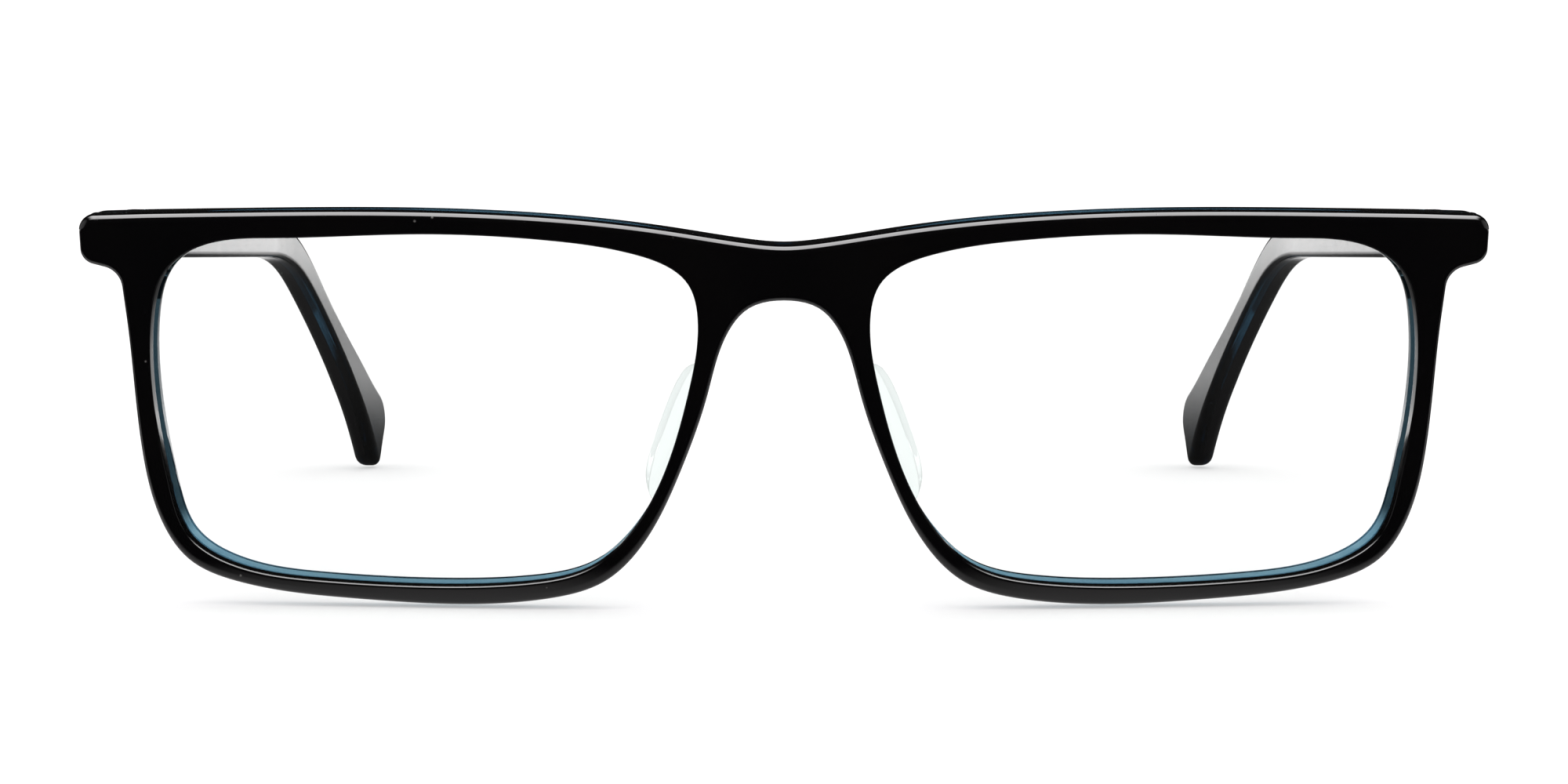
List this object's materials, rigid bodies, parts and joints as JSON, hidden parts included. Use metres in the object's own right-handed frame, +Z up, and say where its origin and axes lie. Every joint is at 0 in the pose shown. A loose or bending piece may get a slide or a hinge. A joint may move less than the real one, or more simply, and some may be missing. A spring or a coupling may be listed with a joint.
{
  "type": "eyeglasses frame",
  "caption": "Rectangular full-rim acetate eyeglasses frame, glossy black over a crystal blue-green layer, with clear lenses, fixed nose pads and folding temples.",
  "frame": {"origin": "on the table, at the middle of the box round the open spectacles", "axes": "+X to the wearer's left, +Y to the back of the head along the temples, +Z up; the lenses face -Y"},
  "size_m": [0.1402, 0.1488, 0.0398],
  "materials": {
    "black_acetate": "polished",
    "crystal_acetate": "polished, translucent blue-green",
    "clear_acetate": "polished, transparent",
    "clear_lens": "clear, thinly coated",
    "hinge_metal": "satin nickel silver",
    "screw_steel": "bright",
    "core_metal": "drawn wire"
  },
  "bodies": {
    "front": {"front_outer_layer": "black_acetate", "front_inner_layer": "crystal_acetate", "lens_left": "clear_lens", "nose_pad_left": "clear_acetate", "front_hinge_leaf_left": "hinge_metal", "hinge_screw_left": "screw_steel", "lens_right": "clear_lens", "nose_pad_right": "clear_acetate", "front_hinge_leaf_right": "hinge_metal", "hinge_screw_right": "screw_steel"},
    "left_temple": {"temple_outer_layer_left": "black_acetate", "temple_inner_layer_left": "crystal_acetate", "temple_core_wire_left": "core_metal", "temple_hinge_leaf_left": "hinge_metal"},
    "right_temple": {"temple_outer_layer_right": "black_acetate", "temple_inner_layer_right": "crystal_acetate", "temple_core_wire_right": "core_metal", "temple_hinge_leaf_right": "hinge_metal"}
  },
  "joints": [
    {"name": "left_temple_hinge", "type": "hinge", "parent": "front", "child": "left_temple", "pos_m": [0.0649, -0.0639, 0.03678], "axis": [-0.0023, 0.0394, 0.9992], "range_deg": [0, 85]},
    {"name": "right_temple_hinge", "type": "hinge", "parent": "front", "child": "right_temple", "pos_m": [-0.0649, -0.0639, 0.03678], "axis": [-0.0023, -0.0394, -0.9992], "range_deg": [0, 76]}
  ]
}
